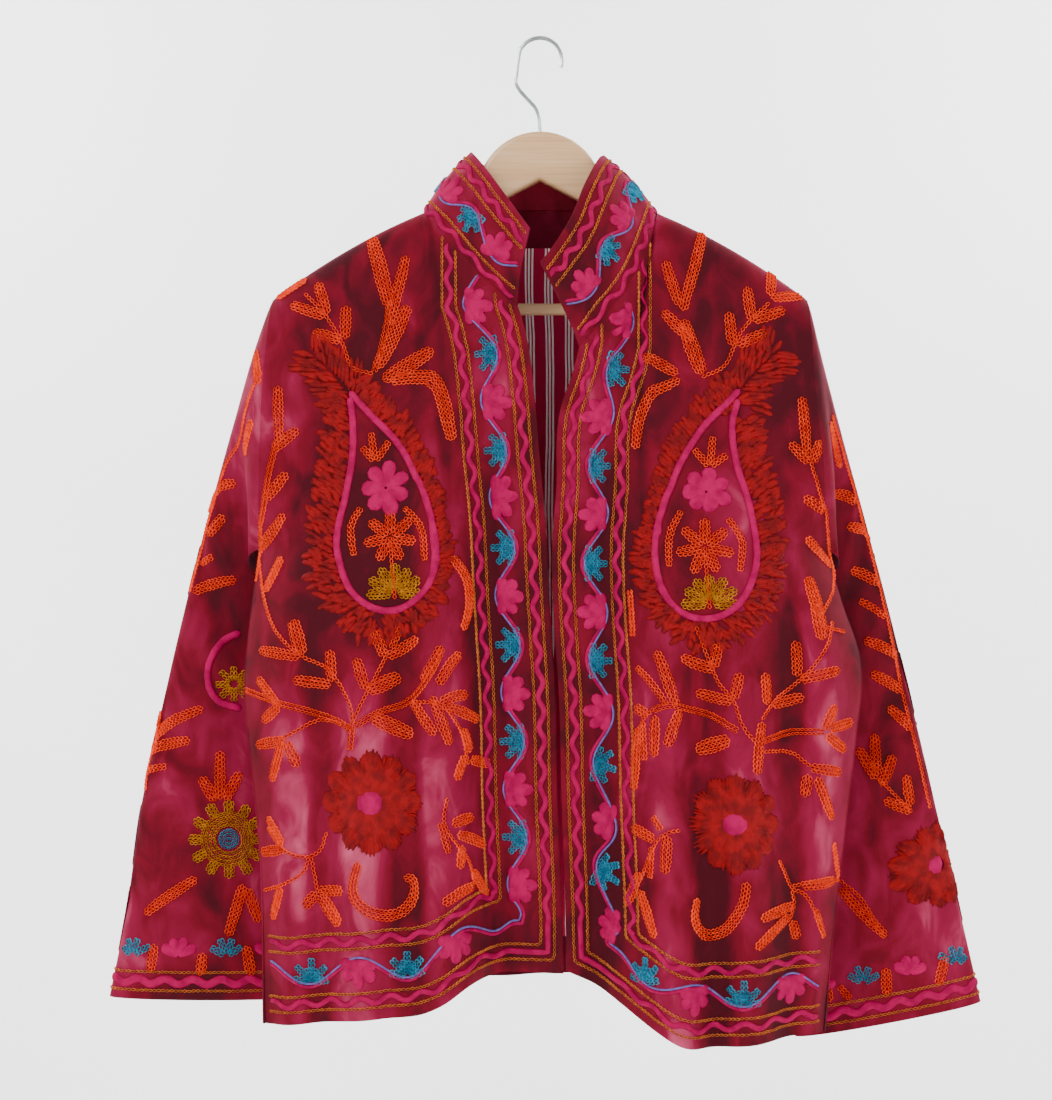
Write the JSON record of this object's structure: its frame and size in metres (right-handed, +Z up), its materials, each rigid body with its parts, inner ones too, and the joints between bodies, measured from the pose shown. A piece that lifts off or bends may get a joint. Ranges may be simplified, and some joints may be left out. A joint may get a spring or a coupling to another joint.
{
  "type": "embroidered jacket on a wooden clothes hanger",
  "caption": "Open velvet jacket with a stand collar and chain-stitch flower embroidery, hanging on a flat wooden hanger with a steel hook.",
  "frame": {"origin": "inside top of the hanger's hook, where a rail carries it", "axes": "+Z up, +Y toward the jacket's back, +X to the right as the front is seen"},
  "size_m": [0.7575, 0.157, 0.8593],
  "materials": {
    "velvet": "crushed cotton velvet",
    "facing_velvet": "velvet facing",
    "striped_cotton": "plain woven cotton with white stripes",
    "pale_wood": "satin lacquer",
    "hook_steel": "drawn wire"
  },
  "bodies": {
    "root": {"front_left": "velvet", "front_right": "velvet", "back": "velvet", "sleeve_left": "velvet", "sleeve_right": "velvet", "collar": "velvet", "neck_facing": "facing_velvet", "back_lining": "striped_cotton", "hanger_body": "pale_wood", "hanger_bar": "pale_wood", "hook": "hook_steel"}
  },
  "joints": []
}
